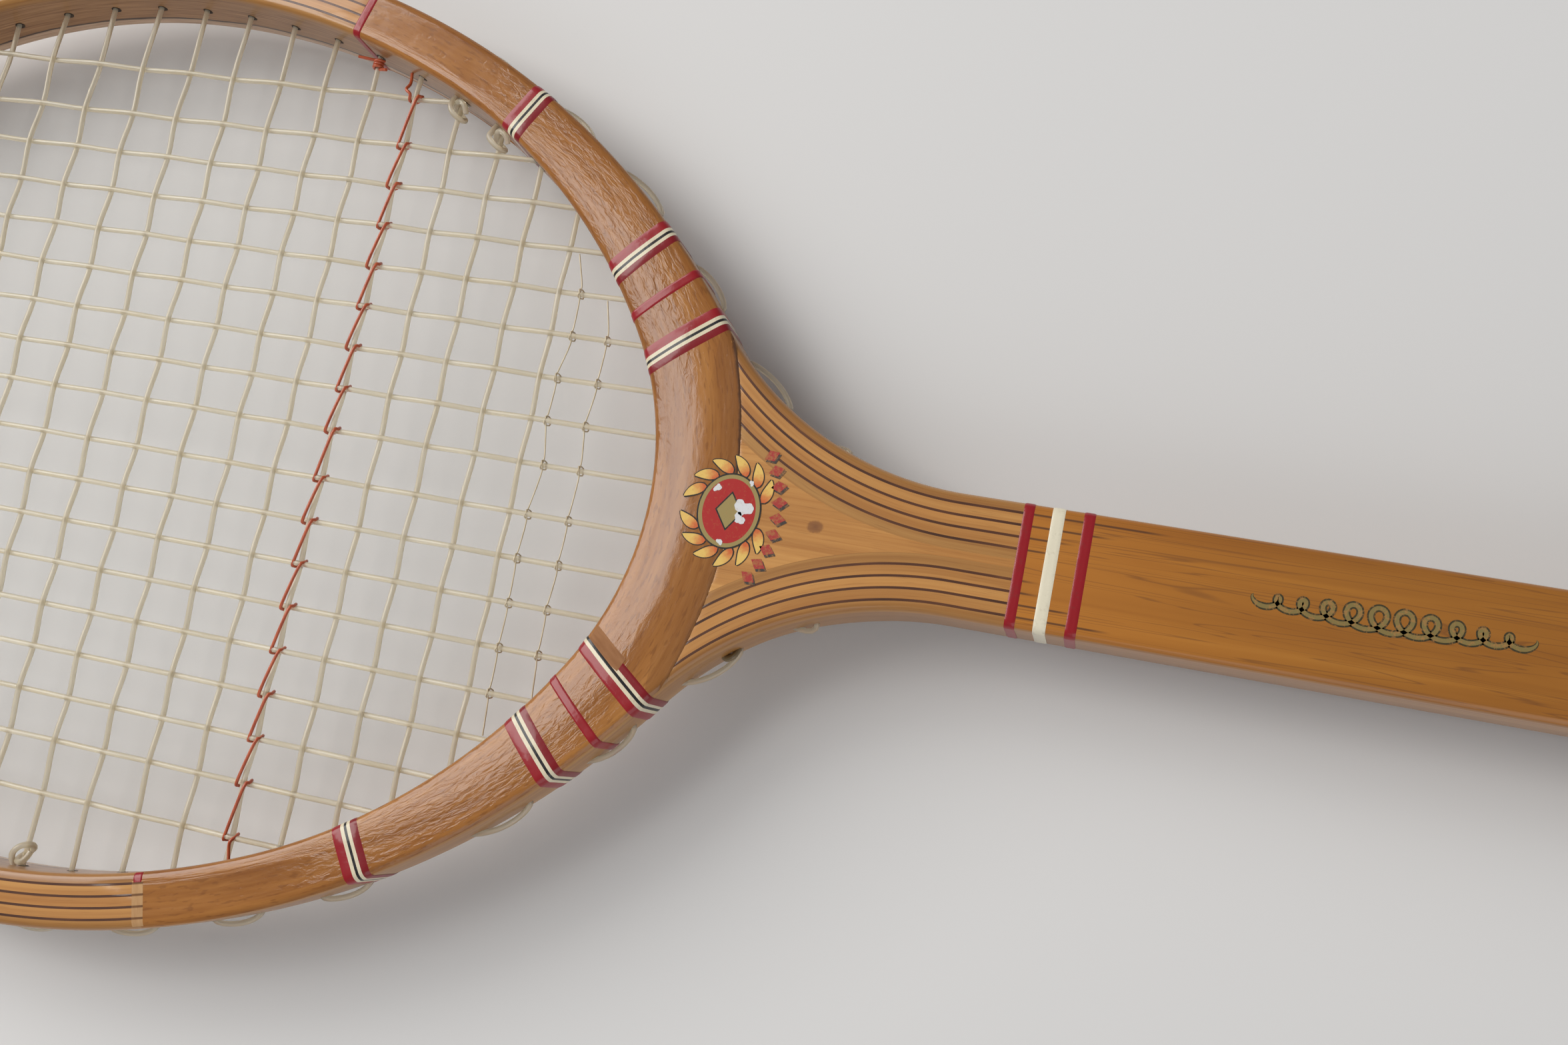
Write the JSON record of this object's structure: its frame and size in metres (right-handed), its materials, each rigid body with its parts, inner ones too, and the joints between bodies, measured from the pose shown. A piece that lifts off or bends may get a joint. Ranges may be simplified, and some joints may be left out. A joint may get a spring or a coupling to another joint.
{
  "type": "tennis racket",
  "caption": "Laminated wooden tennis racket: an oval strung head, a crescent throat, a slim shaft and an octagonal leather grip that flares at the butt.",
  "frame": {"origin": "under the middle of the whole racket's length and width, on the plane that the racket rests on when it lies flat on its flared butt", "axes": "+X along the racket from tip to butt, +Y across it to the right of a player who looks along it from the handle with the front face up, +Z out of the front face. The string plane is 18.6 mm above the origin."},
  "size_m": [0.6862, 0.2321, 0.0372],
  "materials": {
    "ash": "pale honey ash under clear gloss lacquer",
    "dark_veneer": "dark walnut-brown glue-line veneer under gloss lacquer",
    "beech": "mid-brown beech under gloss lacquer",
    "overlay_beech": "flecked reddish-brown beech veneer under gloss lacquer",
    "facing_veneer": "orange-honey veneer with fine dark vein lines, gloss lacquer",
    "cheek_wood": "bare light wood",
    "leather": "dark brown perforated leather strip, satin",
    "collar_tape": "dark tape, gloss",
    "cap_plastic": "black moulded plastic, satin",
    "tack_brass": "brass, satin",
    "gut": "translucent pale yellow-cream string, gloss",
    "red_trim": "orange-red twisted cord",
    "clear_trim": "clear cord, gloss",
    "striped_tape": "red, cream and black striped tape, gloss",
    "red_tape": "red tape, gloss",
    "white_tape": "ivory tape, gloss"
  },
  "bodies": {
    "root": {"bow_ply_1": "ash", "bow_ply_2": "ash", "bow_ply_3": "ash", "bow_ply_4": "ash", "bow_ply_5": "ash", "bow_veneer_1": "dark_veneer", "bow_veneer_2": "dark_veneer", "bow_veneer_3": "dark_veneer", "bow_veneer_4": "dark_veneer", "throat_crescent": "beech", "throat_wedge": "beech", "shaft_core": "ash", "throat_overlay_front": "overlay_beech", "throat_overlay_back": "overlay_beech", "shaft_facing_front": "facing_veneer", "shaft_facing_back": "facing_veneer", "handle_cheek_front": "cheek_wood", "handle_cheek_back": "cheek_wood", "handle_cheek_right": "cheek_wood", "handle_cheek_left": "cheek_wood", "butt_block": "cheek_wood", "grip_leather": "leather", "grip_collar": "collar_tape", "butt_cap": "cap_plastic", "butt_tacks": "tack_brass", "main_string": "gut", "cross_string": "gut", "red_trim_cord": "red_trim", "fine_trim_cord_1": "clear_trim", "fine_trim_cord_2": "clear_trim", "tie_off_knots": "gut", "striped_binding_1_right": "striped_tape", "striped_binding_1_left": "striped_tape", "striped_binding_2_right": "striped_tape", "striped_binding_2_left": "striped_tape", "striped_binding_3_right": "striped_tape", "striped_binding_3_left": "striped_tape", "end_binding_right": "red_tape", "end_binding_left": "red_tape", "middle_binding_right": "red_tape", "middle_binding_left": "red_tape", "shaft_binding_1": "red_tape", "shaft_binding_3": "red_tape", "shaft_binding_2": "white_tape"}
  },
  "joints": []
}
